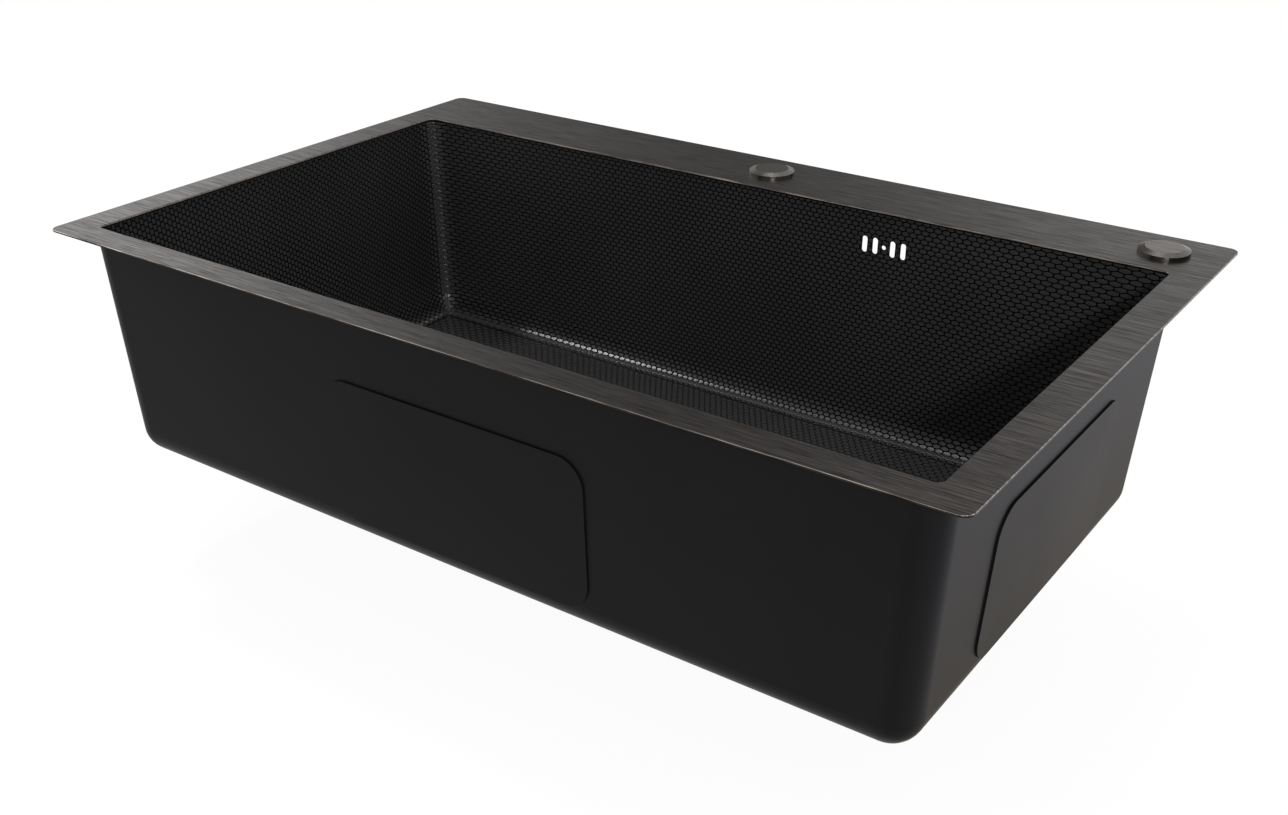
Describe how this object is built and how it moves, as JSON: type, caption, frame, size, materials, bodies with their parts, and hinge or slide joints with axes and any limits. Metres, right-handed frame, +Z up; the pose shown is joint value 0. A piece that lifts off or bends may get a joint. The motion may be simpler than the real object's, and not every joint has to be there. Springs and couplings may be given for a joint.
{
  "type": "inset kitchen sink",
  "caption": "Rectangular inset kitchen sink with a flat rim plate, drafted bowl, tap-hole covers, wall slots for overflow, and a lift-out basket waste with stopper.",
  "frame": {"origin": "middle of the rim plate's rectangle, at the level of its underside, which is the worktop's top", "axes": "+X to the right and +Y to the back for someone who stands at the sink, +Z up"},
  "size_m": [0.8, 0.5, 0.2893],
  "materials": {
    "dark_steel": "gunmetal-dark coated stainless steel, brushed along X",
    "dark_steel_pressed": "gunmetal-dark coated stainless steel, honeycomb embossed inside and satin outside",
    "damping_rubber": "smooth dark damping sheet",
    "cap_steel": "brushed stainless steel with a polished side",
    "seal_rubber": "black rubber",
    "plated_steel": "bright zinc plated steel",
    "waste_steel": "gunmetal-dark coated stainless steel",
    "waste_plastic": "black moulded polypropylene"
  },
  "bodies": {
    "sink": {"rim_plate": "dark_steel", "bowl": "dark_steel_pressed", "front_pad": "damping_rubber", "back_pad": "damping_rubber", "left_pad": "damping_rubber", "right_pad": "damping_rubber", "bottom_pad_left": "damping_rubber", "bottom_pad_right": "damping_rubber", "centre_cover_cap": "cap_steel", "centre_cover_gasket": "seal_rubber", "centre_cover_stud": "plated_steel", "centre_cover_clamp_bar": "plated_steel", "centre_cover_wing_nut": "plated_steel", "side_cover_cap": "cap_steel", "side_cover_gasket": "seal_rubber", "side_cover_stud": "plated_steel", "side_cover_clamp_bar": "plated_steel", "side_cover_wing_nut": "plated_steel", "flange_seal": "seal_rubber", "under_seal": "seal_rubber", "strainer_flange": "waste_steel", "strainer_plate": "waste_steel", "waste_body": "waste_plastic", "waste_tail": "waste_plastic", "overflow_spigot": "waste_plastic", "waste_screw": "plated_steel"},
    "basket": {"basket": "waste_steel"},
    "stopper": {"stopper_post": "plated_steel", "stopper_knob": "waste_steel", "stopper_seal": "seal_rubber", "stopper_nut": "plated_steel"}
  },
  "joints": [
    {"name": "basket_lift", "type": "slide", "parent": "sink", "child": "basket", "axis": [0, 0, 1], "range_m": [0, 0.12]},
    {"name": "stopper_pull", "type": "slide", "parent": "basket", "child": "stopper", "axis": [0, 0, 1], "range_m": [0, 0.006]}
  ]
}
